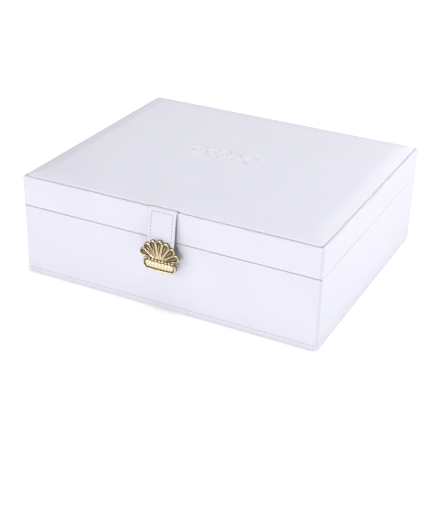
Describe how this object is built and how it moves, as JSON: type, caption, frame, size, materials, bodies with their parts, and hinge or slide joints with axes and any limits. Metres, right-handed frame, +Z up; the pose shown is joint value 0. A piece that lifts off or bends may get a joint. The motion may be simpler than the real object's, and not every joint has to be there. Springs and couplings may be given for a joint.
{
  "type": "jewellery box",
  "caption": "Rectangular leatherette jewellery box with a padded hinged lid, a strap clasp with a fluted metal plate, and pull-out inner drawers over fixed compartments.",
  "frame": {"origin": "centre of the resting face, under the middle of the case", "axes": "+X to the right along the width, -Y out of the front with the clasp, +Z up"},
  "size_m": [0.28, 0.2505, 0.097],
  "materials": {
    "leatherette": "satin grained",
    "board": "raw fibreboard",
    "velvet": "soft velvet",
    "gold": "polished, pale gold plated",
    "steel": "nickel plated",
    "mirror": "polished",
    "thread": "twisted thread",
    "felt": "pressed felt"
  },
  "bodies": {
    "case": {"base_felt": "felt", "bottom_board": "board", "front_board": "board", "back_board": "board", "left_board": "board", "right_board": "board", "case_cover": "leatherette", "floor_lining": "velvet", "front_liner": "velvet", "back_liner": "velvet", "left_liner": "velvet", "right_liner": "velvet", "left_runner": "velvet", "right_runner": "velvet", "centre_divider": "velvet", "left_cross_divider": "velvet", "right_cross_divider": "velvet", "front_short_divider": "velvet", "rear_short_divider": "velvet", "magnet_keeper": "steel", "hem_stitching": "thread", "left_hinge_case_leaf": "gold", "right_hinge_case_leaf": "gold", "left_hinge_pin": "gold", "right_hinge_pin": "gold", "case_hinge_screws": "gold"},
    "lid": {"lid_cover": "leatherette", "lid_top_board": "board", "lid_front_board": "board", "lid_back_board": "board", "lid_left_board": "board", "lid_right_board": "board", "lid_front_liner": "velvet", "lid_back_liner": "velvet", "lid_left_liner": "velvet", "lid_right_liner": "velvet", "mirror_frame": "velvet", "mirror_glass": "mirror", "lid_pad": "leatherette", "strap_root": "leatherette", "left_hinge_lid_leaf": "gold", "right_hinge_lid_leaf": "gold", "lid_hinge_screws": "gold"},
    "strap": {"strap": "leatherette", "strap_stitching": "thread", "clasp_plate": "gold", "clasp_rivets": "gold", "magnet_cup": "gold", "clasp_magnet": "steel"},
    "left_drawer": {"left_drawer_box": "velvet", "ring_rolls": "velvet", "left_drawer_knob": "gold"},
    "right_drawer": {"right_drawer_box": "velvet", "right_drawer_long_slat": "velvet", "right_drawer_short_slats": "velvet", "right_drawer_knob": "gold"}
  },
  "joints": [
    {"name": "lid_hinge", "type": "hinge", "parent": "case", "child": "lid", "pos_m": [0, 0.1192, 0.066], "axis": [-1, 0, 0], "range_deg": [0, 100]},
    {"name": "strap_swing", "type": "hinge", "parent": "lid", "child": "strap", "pos_m": [0, -0.1185, 0.093], "axis": [-1, 0, 0], "range_deg": [0, 120]},
    {"name": "left_drawer_slide", "type": "slide", "parent": "case", "child": "left_drawer", "axis": [0, -1, 0], "range_m": [0, 0.103]},
    {"name": "right_drawer_slide", "type": "slide", "parent": "case", "child": "right_drawer", "axis": [0, -1, 0], "range_m": [0, 0.103]}
  ]
}
